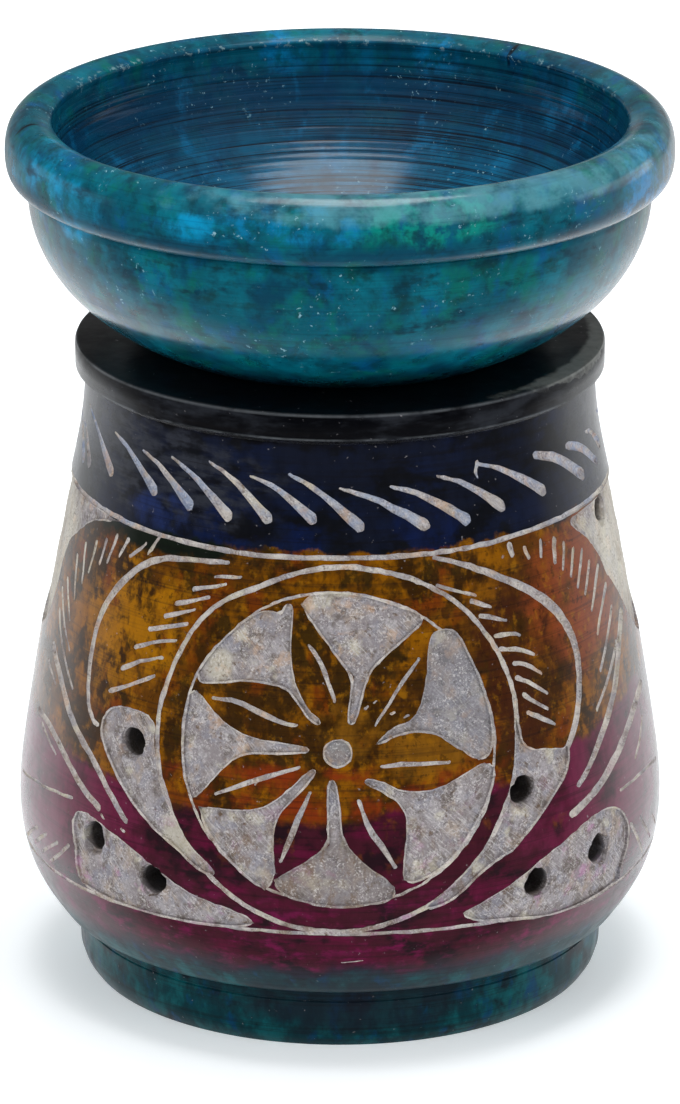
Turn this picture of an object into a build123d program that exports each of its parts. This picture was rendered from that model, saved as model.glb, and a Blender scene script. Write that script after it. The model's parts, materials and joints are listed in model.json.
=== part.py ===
from build123d import *
import os
from math import cos, radians, sin

# Essential oil burner, turned on a lathe from soapstone, then dyed, carved and drilled.
# A hollow body holds a tealight behind a back window, and a loose oil bowl sits in its collar.
# +Z is up, the origin is the centre of the foot's underside, and the carved front looks along -Y.
# All lengths are in millimetres.

# Tealight: a pressed aluminium cup of the usual 38 mm, its wax, and the wick in its steel tab
cup_radius = 19.0
cup_height = 16.0
cup_lip = 0.6
cup_taper = 0.5
cup_skin = 0.4
wax_depth = 12.6
wick_radius = 0.8
wick_stand = 4.6
tab_radius = 6.0
tab_thickness = 0.4
tab_sleeve_wall = 0.4
tab_sleeve_height = 3.0
tealight_clearance = 0.1

# Body: the room around the tealight and the wall give the belly its width
wall = 6.5
floor_thickness = 10.0
flame_room = 13.26
neck_wall = 10.2
collar_overhang = 1.2
collar_band = 3.2
collar_slope = 0.8
body_height = 78.6
shoulder_height = 8.3
foot_height = 7.6
foot_base_radius = 30.6
foot_radius = 31.7
foot_neck_radius = 31.3
chamber_floor_round = 4.0
roof_below_top = 10.6
edge_round = 0.5
belly_radius = cup_radius + flame_room + wall

# Window at the back and drilled vents
window_clearance = 2.0
window_headroom = 2.0
vent_radius = 1.75
overrun = 5.0

# Oil bowl, which stands in the collar's throat on its own turned foot
bowl_foot_radius = 19.6
bowl_foot_height = 2.6
throat_clearance = 0.4
bowl_seat_radius = 21.6
bowl_side_radius = 36.85
bowl_side_height = 19.0
ring_groove = 0.35
ring_step = 0.55
ring_set_in = 2.85
ring_width = 5.35
ring_height = 7.95
bowl_depth = 22.5

# The body's outline between its shoulder and its neck: height up the side, and radius from neck to belly
side_shares = [
    (0.0, 0.467), (0.071, 0.812), (0.185, 1.0), (0.314, 0.916), (0.436, 0.766),
    (0.618, 0.524), (0.8, 0.242), (0.92, 0.054), (1.0, 0.0),
]
# The bowl's outline from its seat to the groove under its ring: radius outwards, and height up the side
bowl_side_shares = [
    (0.0, 0.0), (0.207, 0.076), (0.484, 0.214), (0.706, 0.377), (0.868, 0.564), (0.967, 0.772), (1.0, 1.0),
]
# The ring's rounded section: across its width from the inner edge, and up its height
ring_shares = [(0.71, 0.0), (0.86, 0.07), (1.0, 0.42), (0.84, 0.836), (0.43, 1.0), (0.0, 0.887)]
# Each vent: its angle round from the front, in degrees, and its height up the body's side
vent_angle_and_height_shares = [
    (-41.8, 0.432), (-49.5, 0.24), (-35.0, 0.196),
    (35.2, 0.36), (53.0, 0.206), (37.2, 0.187), (72.8, 0.778),
    (-135.0, 0.42), (-128.0, 0.24), (135.0, 0.42), (128.0, 0.24),
]

throat_radius = bowl_foot_radius + throat_clearance
neck_radius = throat_radius + neck_wall
neck_height = body_height - collar_band - collar_slope
collar_radius = neck_radius + collar_overhang
roof_height = body_height - roof_below_top
ring_inner_radius = bowl_side_radius - ring_set_in


def body_side(low, high, narrow, wide):
    """Points of the body's swelling outline between two heights and two radii."""
    return [
        (narrow + out_share * (wide - narrow), low + up_share * (high - low))
        for up_share, out_share in side_shares
    ]


# Burner body: foot, swelling side, neck and collar, hollow inside down to a flat floor
outer_side = body_side(shoulder_height, neck_height, neck_radius, belly_radius)
inner_side = body_side(floor_thickness, roof_height, neck_radius - wall, belly_radius - wall)
roof_top = roof_height + inner_side[-1][0] - throat_radius
foot_middle = ((foot_base_radius + 2 * foot_radius) / 3, foot_height / 3)
window_half = cup_radius + window_clearance
window_spring = floor_thickness + cup_height + window_headroom

with BuildPart() as burner_body:
    with BuildSketch(Plane.XZ) as body_section:
        with BuildLine():
            Line((0, 0), (foot_base_radius, 0))
            ThreePointArc((foot_base_radius, 0), foot_middle, (foot_neck_radius, foot_height))
            Line((foot_neck_radius, foot_height), outer_side[0])
            Spline(*outer_side)
            Polyline(
                outer_side[-1],
                (collar_radius, neck_height + collar_slope),
                (collar_radius, body_height),
                (throat_radius, body_height),
                (throat_radius, roof_top),
                inner_side[-1],
            )
            Spline(*inner_side)
            Polyline(inner_side[0], (0, floor_thickness), (0, 0))
        make_face()
        corners = body_section.vertices()
        fillet(corners.sort_by_distance(Vector(*inner_side[0]))[0], chamber_floor_round)
        corners = body_section.vertices()
        fillet(corners.sort_by_distance(Vector(collar_radius, body_height))[0], edge_round)
    revolve(axis=Axis.Z)
    # Arched window at the back, its sill flush with the floor so that the tealight slides out
    with BuildSketch(Plane.XZ):
        with BuildLine():
            Polyline(
                (-window_half, window_spring),
                (-window_half, floor_thickness),
                (window_half, floor_thickness),
                (window_half, window_spring),
            )
            RadiusArc((window_half, window_spring), (-window_half, window_spring), -window_half)
        make_face()
    extrude(amount=-(belly_radius + overrun), mode=Mode.SUBTRACT)
    # Vents drilled straight in towards the axis
    for angle, up_share in vent_angle_and_height_shares:
        vent_height = shoulder_height + up_share * (neck_height - shoulder_height)
        outward = (sin(radians(angle)), -cos(radians(angle)), 0)
        with BuildSketch(Plane(origin=(0, 0, vent_height), z_dir=outward)):
            Circle(vent_radius)
        extrude(amount=belly_radius + overrun, mode=Mode.SUBTRACT)

# Oil bowl: a round-sided dish with a rolled ring, standing on a low foot that centres it in the collar
side_top = body_height + bowl_side_height
ring_base = side_top + ring_step
bowl_swell = bowl_side_radius - bowl_seat_radius
bowl_side = [
    (bowl_seat_radius + out_share * bowl_swell, body_height + up_share * bowl_side_height)
    for out_share, up_share in bowl_side_shares
]
ring_section = [
    (ring_inner_radius + across_share * ring_width, ring_base + up_share * ring_height)
    for across_share, up_share in ring_shares
]
inner_edge_height = ring_section[-1][1]

with BuildPart() as oil_bowl:
    with BuildSketch(Plane.XZ) as bowl_section:
        with BuildLine():
            Polyline(
                (0, body_height - bowl_foot_height),
                (bowl_foot_radius, body_height - bowl_foot_height),
                (bowl_foot_radius, body_height),
                bowl_side[0],
            )
            Spline(*bowl_side)
            Polyline(
                bowl_side[-1],
                (bowl_side_radius - ring_groove, side_top + ring_groove),
                ring_section[0],
            )
            Spline(*ring_section)
            EllipticalCenterArc(
                (0, inner_edge_height), ring_inner_radius, bowl_depth,
                start_angle=270, arc_size=90,
            )
            Line((0, inner_edge_height - bowl_depth), (0, body_height - bowl_foot_height))
        make_face()
        corners = bowl_section.vertices()
        foot_corner = Vector(bowl_foot_radius, body_height - bowl_foot_height)
        chamfer(corners.sort_by_distance(foot_corner)[0], edge_round)
        corners = bowl_section.vertices()
        fillet(corners.sort_by_distance(Vector(*ring_section[-1]))[0], edge_round)
    revolve(axis=Axis.Z)

# Tealight cup: a thin tapered cup with a lip turned outwards, standing on the chamber's floor
cup_wall_radius = cup_radius - cup_lip
cup_base_radius = cup_wall_radius - cup_taper
cup_top = floor_thickness + cup_height
wax_bottom = floor_thickness + cup_skin
with BuildPart() as tealight_cup:
    with BuildSketch(Plane.XZ):
        with BuildLine():
            Polyline(
                (0, floor_thickness),
                (cup_base_radius, floor_thickness),
                (cup_wall_radius, cup_top - cup_skin),
                (cup_radius, cup_top - cup_skin),
                (cup_radius, cup_top),
                (cup_wall_radius - cup_skin, cup_top),
                (cup_base_radius - cup_skin, wax_bottom),
                (0, wax_bottom),
                close=True,
            )
        make_face()
    revolve(axis=Axis.Z)

# Wick tab: a steel disc on the cup's floor with a sleeve crimped round the wick
sleeve_bore = wick_radius + tealight_clearance
sleeve_radius = sleeve_bore + tab_sleeve_wall
with BuildPart() as wick_tab:
    with BuildSketch(Plane.XY.offset(wax_bottom)):
        Circle(tab_radius)
    extrude(amount=tab_thickness)
    with BuildSketch(Plane.XY.offset(wax_bottom + tab_thickness)):
        Circle(sleeve_radius)
        Circle(sleeve_bore, mode=Mode.SUBTRACT)
    extrude(amount=tab_sleeve_height)

# Wick: a waxed cotton cord that stands on the tab and out of the wax
wick_bottom = wax_bottom + tab_thickness
wax_top = wax_bottom + wax_depth
with BuildPart() as tealight_wick:
    with BuildSketch(Plane.XY.offset(wick_bottom)):
        Circle(wick_radius)
    extrude(amount=wax_top + wick_stand - wick_bottom)

# Wax: it fills the cup round the wick and its tab
wax_base_radius = cup_base_radius - cup_skin - tealight_clearance
wax_top_radius = wax_base_radius + cup_taper * wax_depth / cup_height
tab_room = tab_thickness + tealight_clearance
sleeve_room = tab_thickness + tab_sleeve_height + tealight_clearance
with BuildPart() as tealight_wax:
    with BuildSketch(Plane.XZ):
        with BuildLine():
            Polyline(
                (sleeve_bore, wax_bottom + sleeve_room),
                (sleeve_radius + tealight_clearance, wax_bottom + sleeve_room),
                (sleeve_radius + tealight_clearance, wax_bottom + tab_room),
                (tab_radius + tealight_clearance, wax_bottom + tab_room),
                (tab_radius + tealight_clearance, wax_bottom),
                (wax_base_radius, wax_bottom),
                (wax_top_radius, wax_top),
                (sleeve_bore, wax_top),
                close=True,
            )
        make_face()
    revolve(axis=Axis.Z)

os.makedirs("parts", exist_ok=True)
burner_body.part.label = "burner_body"
export_step(burner_body.part, "parts/burner_body.step")
oil_bowl.part.label = "oil_bowl"
export_step(oil_bowl.part, "parts/oil_bowl.step")
tealight_cup.part.label = "tealight_cup"
export_step(tealight_cup.part, "parts/tealight_cup.step")
tealight_wax.part.label = "tealight_wax"
export_step(tealight_wax.part, "parts/tealight_wax.step")
tealight_wick.part.label = "tealight_wick"
export_step(tealight_wick.part, "parts/tealight_wick.step")
wick_tab.part.label = "wick_tab"
export_step(wick_tab.part, "parts/wick_tab.step")
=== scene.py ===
import json
import math

import bpy
import numpy as np
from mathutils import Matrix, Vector, noise

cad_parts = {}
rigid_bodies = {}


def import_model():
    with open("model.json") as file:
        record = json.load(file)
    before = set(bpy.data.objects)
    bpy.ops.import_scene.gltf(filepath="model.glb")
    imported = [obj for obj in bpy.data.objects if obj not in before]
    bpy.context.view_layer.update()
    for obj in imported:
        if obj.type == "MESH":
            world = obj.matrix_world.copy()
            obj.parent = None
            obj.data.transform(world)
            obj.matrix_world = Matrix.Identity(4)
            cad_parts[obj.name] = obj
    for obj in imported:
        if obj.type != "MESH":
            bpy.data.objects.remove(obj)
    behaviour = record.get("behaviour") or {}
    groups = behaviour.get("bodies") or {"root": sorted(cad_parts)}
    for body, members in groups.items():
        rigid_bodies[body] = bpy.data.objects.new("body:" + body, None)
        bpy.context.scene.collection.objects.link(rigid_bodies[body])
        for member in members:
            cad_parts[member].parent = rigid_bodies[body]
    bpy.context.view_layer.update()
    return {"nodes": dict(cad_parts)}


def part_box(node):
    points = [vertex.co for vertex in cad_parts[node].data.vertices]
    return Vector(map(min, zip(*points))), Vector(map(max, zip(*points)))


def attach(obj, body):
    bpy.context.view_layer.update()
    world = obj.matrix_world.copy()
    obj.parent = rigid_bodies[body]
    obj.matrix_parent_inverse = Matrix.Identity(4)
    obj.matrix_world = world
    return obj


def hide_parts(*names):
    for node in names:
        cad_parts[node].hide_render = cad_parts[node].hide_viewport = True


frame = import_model()
mm = 0.001

# Camera: a long lens that looks a little down on the burner's carved front, so that the bowl's hollow and the
# foot's curve both show. It is level from side to side and aimed at the turned axis.
camera_distance = 800 * mm
camera_tilt = math.radians(19.377)
aim_height = 50.96 * mm
bpy.ops.object.select_all(action="DESELECT")
back, up = camera_distance * math.cos(camera_tilt), camera_distance * math.sin(camera_tilt)
bpy.ops.object.camera_add(location=(0, -back, aim_height + up), rotation=(math.pi / 2 - camera_tilt, 0, 0))
camera = bpy.context.object
camera.data.sensor_fit = "VERTICAL"
camera.data.sensor_height = 24
camera.data.lens = 145
camera.data.clip_end = 20
bpy.context.scene.camera = camera
bpy.context.scene.view_settings.view_transform = "Standard"

# Surroundings: a white table in a white light tent that is open towards the camera. The tent is a white sky,
# dim in reflections from its open side, with a soft lamp over the bowl and one at each side. Three more
# lamps, which no surface mirrors, light the front and the back.
tent_light = 0.42
open_side_light = 0.08
roof_light = 0.3
back_strip_light = 0.28
table_colour = (0.92, 0.94, 0.955)
table_glow = 0.27
glow_colour = (0.88, 0.96, 1)


def plug(socket, value):
    """Link a node's output to a socket, or set the socket to a plain value."""
    if isinstance(value, bpy.types.NodeSocket):
        socket.id_data.links.new(value, socket)
    else:
        socket.default_value = value


def node(kind, sockets=None, **settings):
    """A new shader node in the tree being made, set up, with values or other nodes' outputs plugged in."""
    made = tree.nodes.new("ShaderNode" + kind)
    for name, value in settings.items():
        setattr(made, name, value)
    for name, value in (sockets or {}).items():
        plug(made.inputs[name], value)
    return made


def emptied(owner):
    """The node tree of a world or material, with nothing in it."""
    owner.use_nodes = True
    owner.node_tree.nodes.clear()
    return owner.node_tree


def coated(piece, name):
    """The node tree of a new material that the piece gets, with nothing in it."""
    made = bpy.data.materials.new(name)
    piece.data.materials.append(made)
    return emptied(made)


def ramp(value, low=0, high=1, at_low=0, at_high=1, **settings):
    """A value that runs from one level to another while the given one runs from low to high."""
    sockets = {"Value": value, "From Min": low, "From Max": high, "To Min": at_low, "To Max": at_high}
    return node("MapRange", sockets, **settings).outputs[0]


def scaled(vector, factor):
    """A colour or a place times a factor."""
    return node("VectorMath", {0: vector, "Scale": factor}, operation="SCALE").outputs[0]


tent = bpy.data.worlds.new("light_tent")
bpy.context.scene.world = tent
tree = emptied(tent)
ray = node("LightPath").outputs
toward = node("SeparateXYZ", {0: node("TexCoord").outputs["Generated"]}).outputs
tent_wall = ramp(toward["Z"], 0.25, 0.7, open_side_light, roof_light)
low_behind = ramp(toward["Y"], -0.1, 0.4, 0, ramp(toward["Z"], 0.22, 0.1))
mirrored_wall = ramp(low_behind, 0, 1, tent_wall, back_strip_light)
level = ramp(ray["Is Camera Ray"], 0, 1, ramp(ray["Is Glossy Ray"], 0, 1, tent_light, mirrored_wall), 1)
sky = node("Background", {"Color": (1, 1, 1, 1), "Strength": level})
node("OutputWorld", {"Surface": sky.outputs[0]})

# the table's far parts are darker in reflections, and it glows a little, more so far off, to look white
bpy.ops.mesh.primitive_plane_add(size=6)
table = bpy.context.object
table.name = "table"
tree = coated(table, "table_white")
ray = node("LightPath").outputs
at = node("TexCoord").outputs["Object"]
from_axis = node("VectorMath", {0: at}, operation="LENGTH").outputs["Value"]
far_share = ramp(node("SeparateXYZ", {0: at}).outputs["Y"], -0.12, 0.05, 0.2, 0.6)
mirrored_table = ramp(from_axis, 0.12, 0.3, 1, far_share)
tint = scaled(table_colour, ramp(ray["Is Glossy Ray"], 0, 1, 1, mirrored_table))
matt = node("BsdfDiffuse", {"Color": tint}).outputs[0]
shining = scaled(glow_colour, ramp(from_axis, 0.3, 0.9, table_glow, 1))
glow = node("Emission", {"Color": shining, "Strength": 1})
glowing = node("AddShader", {0: matt, 1: glow.outputs[0]}).outputs[0]
near_glow = ramp(from_axis, 0.1, 0.05, 0, ray["Is Glossy Ray"])
paper = node("MixShader", {0: ramp(ray["Is Camera Ray"], 0, 1, near_glow, 1), 1: matt, 2: glowing})
node("OutputMaterial", {"Surface": paper.outputs[0]})

for name, place, width, tall, power, mirrored_lamp in (
    ("lamp_over", (0.02, 0.04, 0.92), 0.44, 0.44, 5.2, True),
    ("fill_left", (-0.7, -0.65, 0.55), 0.7, 0.7, 4.0, False),
    ("fill_right", (0.75, -0.55, 0.45), 0.7, 0.7, 3.2, False),
    ("fill_back", (0.1, 0.95, 0.42), 0.7, 0.7, 2.8, False),
    ("side_left", (-0.95, 0.22, 0.15), 0.8, 0.26, 0.65, True),
    ("side_right", (0.95, 0.3, 0.15), 0.8, 0.26, 1.1, True),
):
    bpy.ops.object.light_add(type="AREA", location=place)
    lamp = bpy.context.object
    lamp.name = name
    lamp.data.shape = "RECTANGLE"
    lamp.data.size = width
    lamp.data.size_y = tall
    lamp.data.energy = power
    lamp.visible_glossy = mirrored_lamp
    lamp.rotation_euler = (Vector((0, 0, aim_height)) - Vector(place)).to_track_quat("-Z", "Y").to_euler()


# Burner body: one block of soapstone turned hollow on the lathe, with a foot, a swelling side, a neck and a
# collar that takes the bowl. Its arched window at the back lets the tealight in, and the vents are drilled.
foot_outline = [(30.6, 0), (31.2, 0.9), (31.62, 2.2), (31.7, 3.6), (31.72, 5.85), (31.6, 5.98), (31.6, 6.08),
                (31.72, 6.2), (31.7, 6.9), (31.75, 7.3), (32.0, 7.55), (32.6, 7.75), (33.3, 7.9),
                (33.85, 8.05)]
side_knots = [(34.2, 8.3), (37.15, 13), (38.76, 20.5), (38.04, 29), (36.76, 37), (34.69, 49), (32.27, 61),
              (30.66, 69.2), (30.2, 74.6)]
collar_outline = [(31.4, 75.4), (31.42, 76.6), (31.4, 78.1), (31.25, 78.45), (30.9, 78.6), (20.4, 78.6),
                  (20.0, 78.2), (20.0, 71.7), (23.7, 68)]
hollow_knots = [(23.7, 68), (24.16, 63.4), (25.77, 56.4), (28.2, 45.8), (30.26, 35.3), (31.54, 28.2),
                (32.26, 20.7), (30.65, 14.1), (29.3, 12.1)]
chamber_corner = [(28.4, 11.1), (27.2, 10.4), (25.6, 10.05), (24, 10), (18, 10), (9, 10)]
window_half = 21 * mm
window_spring = 28 * mm
window_reach = 44 * mm
chamber_floor = 10 * mm
vent_radius = 1.75 * mm
vent_from = 20 * mm
vent_reach = 24 * mm
chip_width = 0.36 * mm
chip_rag = 0.3
chip_grain = 900
vents = [(-41.8, 36.94), (-49.5, 24.21), (-35, 21.29), (35.2, 32.17), (53, 21.96), (37.2, 20.7),
         (72.8, 59.88), (-135, 36.15), (-128, 24.21), (135, 36.15), (128, 24.21)]
stone_sides = 256
side_rings = 90
hollow_rings = 34


def bent_through(knots, steps):
    """Points along a thin lath that is bent through the (radius, height) knots."""
    knots = np.array(knots, float)
    gap = np.linalg.norm(np.diff(knots, axis=0), axis=1)
    run = np.concatenate([[0], np.cumsum(gap)])
    stiffness, pull = np.eye(len(run)), np.zeros(knots.shape)
    for i in range(1, len(run) - 1):
        stiffness[i, i - 1:i + 2] = gap[i - 1], 2 * (gap[i - 1] + gap[i]), gap[i]
        pull[i] = 6 * ((knots[i + 1] - knots[i]) / gap[i] - (knots[i] - knots[i - 1]) / gap[i - 1])
    bend = np.linalg.solve(stiffness, pull)
    at = np.linspace(0, run[-1], steps)
    i = np.clip(np.searchsorted(run, at) - 1, 0, len(gap) - 1)
    span = gap[i][:, None]
    after = ((at - run[i])[:, None]) / span
    before = 1 - after
    curve = before * knots[i] + after * knots[i + 1]
    curve += ((before ** 3 - before) * bend[i] + (after ** 3 - after) * bend[i + 1]) * span ** 2 / 6
    return [tuple(point) for point in curve]


def open_up():
    """Go into edit mode with all of the active mesh selected."""
    bpy.ops.object.mode_set(mode="EDIT")
    bpy.ops.mesh.select_all(action="SELECT")


def face_outwards():
    """Turn the open mesh's faces outwards and leave edit mode."""
    bpy.ops.mesh.select_all(action="SELECT")
    bpy.ops.mesh.normals_make_consistent(inside=False)
    bpy.ops.object.mode_set(mode="OBJECT")


def turned(name, outline, sides):
    """Turn a piece on the lathe: its half outline, in millimetres from axis to axis, spun round the axis."""
    bpy.ops.object.select_all(action="DESELECT")
    bpy.ops.mesh.primitive_circle_add(vertices=len(outline))
    piece = bpy.context.object
    piece.name = piece.data.name = name
    for vertex, (radius, height) in zip(piece.data.vertices, outline):
        vertex.co = (radius * mm, 0, height * mm)
    open_up()
    bpy.ops.mesh.spin(steps=sides, angle=math.tau, center=(0, 0, 0), axis=(0, 0, 1), use_auto_merge=True)
    bpy.ops.mesh.select_all(action="SELECT")
    bpy.ops.mesh.remove_doubles(threshold=0.001 * mm)
    bpy.ops.mesh.delete_loose()
    face_outwards()
    return piece


side_curve = bent_through(side_knots, side_rings)
body = turned(
    "carved_body",
    [(0, 0), (12, 0), (24, 0)] + foot_outline + side_curve + collar_outline
    + bent_through(hollow_knots, hollow_rings)[1:] + chamber_corner + [(0, 10)],
    stone_sides,
)


def only(piece):
    """Make a piece the active one and the only one selected."""
    bpy.ops.object.select_all(action="DESELECT")
    bpy.context.view_layer.objects.active = piece
    piece.select_set(True)


def cut_away(piece, tools):
    """Take the shape of every tool in the collection out of the stone, and then put the tools away."""
    only(piece)
    bpy.ops.object.modifier_add(type="BOOLEAN")
    cut = piece.modifiers[-1]
    cut.solver = "MANIFOLD"
    cut.operand_type = "COLLECTION"
    cut.collection = tools
    cut.material_mode = "TRANSFER"
    bpy.ops.object.modifier_apply(modifier=cut.name)
    for tool in list(tools.objects):
        bpy.data.objects.remove(tool)
    bpy.data.collections.remove(tools)


def tool_rack(name):
    """A collection that holds the tools of one cut."""
    rack = bpy.data.collections.new(name)
    bpy.context.scene.collection.children.link(rack)
    return rack


def put_on(rack, tool):
    """Move a tool from the scene to a rack."""
    for other in list(tool.users_collection):
        other.objects.unlink(tool)
    rack.objects.link(tool)


raw_stone = bpy.data.materials.new("raw_stone")
scored_stone = bpy.data.materials.new("scored_stone")
dyed_stone = bpy.data.materials.new("dyed_body_stone")
for stone in (dyed_stone, raw_stone, scored_stone):
    body.data.materials.append(stone)
# the underside is left raw, and so is all that lies within the wall
wall_heights = [height for radius, height in side_curve] + [75.4, 79]
within_wall = [radius - 3 for radius, height in side_curve] + [21, 20.2]
for face in body.data.polygons:
    out, height = math.hypot(face.center.x, face.center.y) / mm, face.center.z / mm
    inside = out < np.interp(height, wall_heights, within_wall) and height > 9
    face.material_index = 1 if inside or height < 0.05 else 0

openings = tool_rack("openings")
bpy.ops.object.select_all(action="DESELECT")
bpy.ops.mesh.primitive_cylinder_add(vertices=96, radius=window_half, depth=window_reach)
arch = bpy.context.object
arch.name = "window_arch"
open_up()
bpy.ops.transform.rotate(value=math.pi / 2, orient_axis="X", center_override=(0, 0, 0))
bpy.ops.transform.translate(value=(0, window_reach / 2, window_spring))
arch_foot = window_spring - 1 * mm
bpy.ops.mesh.bisect(plane_co=(0, 0, arch_foot), plane_no=(0, 0, 1), clear_inner=True, use_fill=True)
bpy.ops.object.mode_set(mode="OBJECT")
bpy.ops.mesh.primitive_cube_add(size=1)
sill = bpy.context.object
sill.name = "window_sill"
open_up()
bpy.ops.transform.resize(value=(2 * window_half, window_reach, window_spring - chamber_floor))
bpy.ops.transform.translate(value=(0, window_reach / 2, (window_spring + chamber_floor) / 2))
bpy.ops.object.mode_set(mode="OBJECT")
for tool in (arch, sill):
    tool.data.materials.append(raw_stone)
    put_on(openings, tool)
for angle, height in vents:
    bpy.ops.mesh.primitive_cylinder_add(vertices=40, radius=vent_radius, depth=vent_reach)
    drill = bpy.context.object
    drill.name = "vent_drill"
    open_up()
    bpy.ops.transform.rotate(value=math.pi / 2, orient_axis="X", center_override=(0, 0, 0))
    bpy.ops.object.mode_set(mode="OBJECT")
    turn = math.radians(angle)
    for vertex in drill.data.vertices:
        out = vertex.co.y + vent_reach / 2 + vent_from
        across = vertex.co.x
        vertex.co = (out * math.sin(turn) + across * math.cos(turn),
                     across * math.sin(turn) - out * math.cos(turn), vertex.co.z + height * mm)
    open_up()
    face_outwards()
    drill.data.materials.append(raw_stone)
    put_on(openings, drill)
    rim = np.interp(height, [knot[1] for knot in side_knots], [knot[0] for knot in side_knots]) * mm
    bpy.ops.mesh.primitive_cone_add(vertices=40, radius1=vent_radius, radius2=vent_radius + 2 * chip_width,
                                    depth=4 * chip_width, rotation=(math.pi / 2, 0, turn))
    chips = bpy.context.object
    chips.name = "chipped_rim"
    bpy.ops.object.transform_apply(location=True, rotation=True, scale=True)
    across = Vector((math.cos(turn), math.sin(turn), 0))
    outward = Vector((math.sin(turn), -math.cos(turn), 0))
    for vertex in chips.data.vertices:
        beside = across * vertex.co.dot(across) + Vector((0, 0, vertex.co.z))
        ragged_edge = 1 + chip_rag * noise.noise(beside * chip_grain + Vector((angle, height, 0)))
        sideways, out = beside * (ragged_edge - 1), outward * (rim - 0.4 * chip_width)
        vertex.co = vertex.co + sideways + out + Vector((0, 0, height * mm))
    chips.data.materials.append(raw_stone)
    put_on(openings, chips)
cut_away(body, openings)

# Carving: the front medallion, leaves, fields and strokes are cut through the dye with a gouge. They are
# drawn flat, as (degrees round from the front, height in millimetres), then laid round the side and cut out.
pattern_radius = 36.5
gouge_roundness = 0.62
field_depth = 0.42
chisel_step = 1.0
chisel_marks = 0.09
sharp_corner = math.radians(48)
hand_shake = 0.09
grain_shake = 0.11
stroke_step = 0.55
shake_seed = 5
side_heights = [height for radius, height in side_curve]
side_radii = [radius for radius, height in side_curve]


def laid_round(mesh):
    """Bend a flat drawing round the body's side: x along it, -y out of it, z up it, in millimetres."""
    for vertex in mesh.vertices:
        along, into, height = vertex.co
        angle = along / pattern_radius
        radius = np.interp(height, side_heights, side_radii) - into
        vertex.co = Vector((radius * math.sin(angle), -radius * math.cos(angle), height)) * mm


def flat(point):
    """A drawing point (degrees, height) as millimetres along and up the flat drawing."""
    return math.radians(point[0]) * pattern_radius, point[1]


def tool_from(curve, name):
    """Make a curve's solid a closed mesh."""
    drawn = bpy.data.objects.new(name, curve)
    mesh = bpy.data.meshes.new_from_object(drawn)
    bpy.data.objects.remove(drawn)
    tool = bpy.data.objects.new(name, mesh)
    bpy.context.scene.collection.objects.link(tool)
    only(tool)
    return tool


def closed_up():
    """Weld the active mesh's seams and turn its faces outwards."""
    open_up()
    bpy.ops.mesh.remove_doubles(threshold=0.001)
    face_outwards()


def gouged(rack, points, widths, ring=False):
    """One stroke of the gouge along the points, as wide as the widths spread along it, with rounded ends."""
    path = [Vector((*flat(point), 0)).xzy for point in points]
    run = [0.0]
    for a, b in zip(path, path[1:]):
        run.append(run[-1] + (b - a).length)
    wide = np.interp(np.array(run) / run[-1], np.linspace(0, 1, len(widths)), widths) / 2
    if not ring:
        first = (path[0] - path[1]).normalized()
        last = (path[-1] - path[-2]).normalized()
        path = [path[0] + first * wide[0], path[0] + first * wide[0] * 0.6, *path,
                path[-1] + last * wide[-1] * 0.6, path[-1] + last * wide[-1]]
        wide = [wide[0] * 0.2, wide[0] * 0.8, *wide, wide[-1] * 0.85, wide[-1] * 0.2]
    curve = bpy.data.curves.new("stroke", "CURVE")
    curve.dimensions = "3D"
    spline = curve.splines.new("NURBS")
    spline.points.add(len(path) - 1)
    for point, place, radius in zip(spline.points, path, wide):
        point.co = (*place, 1)
        point.radius = radius
    spline.order_u = 3
    spline.use_endpoint_u = not ring
    spline.use_cyclic_u = ring
    spline.resolution_u = int(np.clip(run[-1] / len(path) / stroke_step, 2, 7))
    curve.bevel_depth = 1
    curve.bevel_resolution = 2
    curve.use_fill_caps = True
    stroke = tool_from(curve, "stroke")
    closed_up()
    for vertex in stroke.data.vertices:
        shake = noise.noise_vector(vertex.co * Vector((0.8, 0, 0.8))) * hand_shake
        shake += noise.noise_vector(vertex.co * Vector((2.6, 0, 2.6))) * grain_shake
        deep = vertex.co.y * gouge_roundness + shake.y / 2
        vertex.co = (vertex.co.x + shake.x, deep, vertex.co.z + shake.z)
    laid_round(stroke.data)
    stroke.data.materials.append(scored_stone)
    put_on(rack, stroke)


def cleared(rack, outlines):
    """Fields cleared down to raw stone inside their outlines, with floors as a chisel leaves them."""
    curve = bpy.data.curves.new("field", "CURVE")
    curve.dimensions = "2D"
    curve.fill_mode = "BOTH"
    for outline in outlines:
        corners = []
        drawn = [Vector(flat(point)) for point in outline]
        for before, corner, after in zip(drawn[-1:] + drawn[:-1], drawn, drawn[1:] + drawn[:1]):
            turn = (corner - before).angle(after - corner)
            corners += [corner] * (2 if turn > sharp_corner else 1)
        spline = curve.splines.new("NURBS")
        spline.points.add(len(corners) - 1)
        for point, corner in zip(spline.points, corners):
            point.co = (*corner, 0, 1)
        spline.order_u = 3
        spline.use_cyclic_u = True
        spline.resolution_u = 3
    curve.extrude = field_depth
    field = tool_from(curve, "field")
    closed_up()
    reach = np.array([vertex.co for vertex in field.data.vertices])
    bpy.ops.object.mode_set(mode="EDIT")
    for axis, way in ((0, (1, 0, 0)), (1, (0, 1, 0))):
        for at in np.arange(reach[:, axis].min() + chisel_step / 2, reach[:, axis].max(), chisel_step):
            bpy.ops.mesh.select_all(action="SELECT")
            bpy.ops.mesh.bisect(plane_co=tuple(at * c for c in way), plane_no=way, threshold=0.0001)
    bpy.ops.object.mode_set(mode="OBJECT")
    for vertex in field.data.vertices:
        along, height, out = vertex.co
        if out < 0:
            broad = noise.noise(Vector((along, height, 3)) * 0.45)
            out += chisel_marks * (broad + 0.6 * noise.noise(Vector((along, height * 1.6, 9)) * 1.3))
        vertex.co = (along, -out, height)
    laid_round(field.data)
    field.data.materials.append(raw_stone)
    put_on(rack, field)


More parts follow.
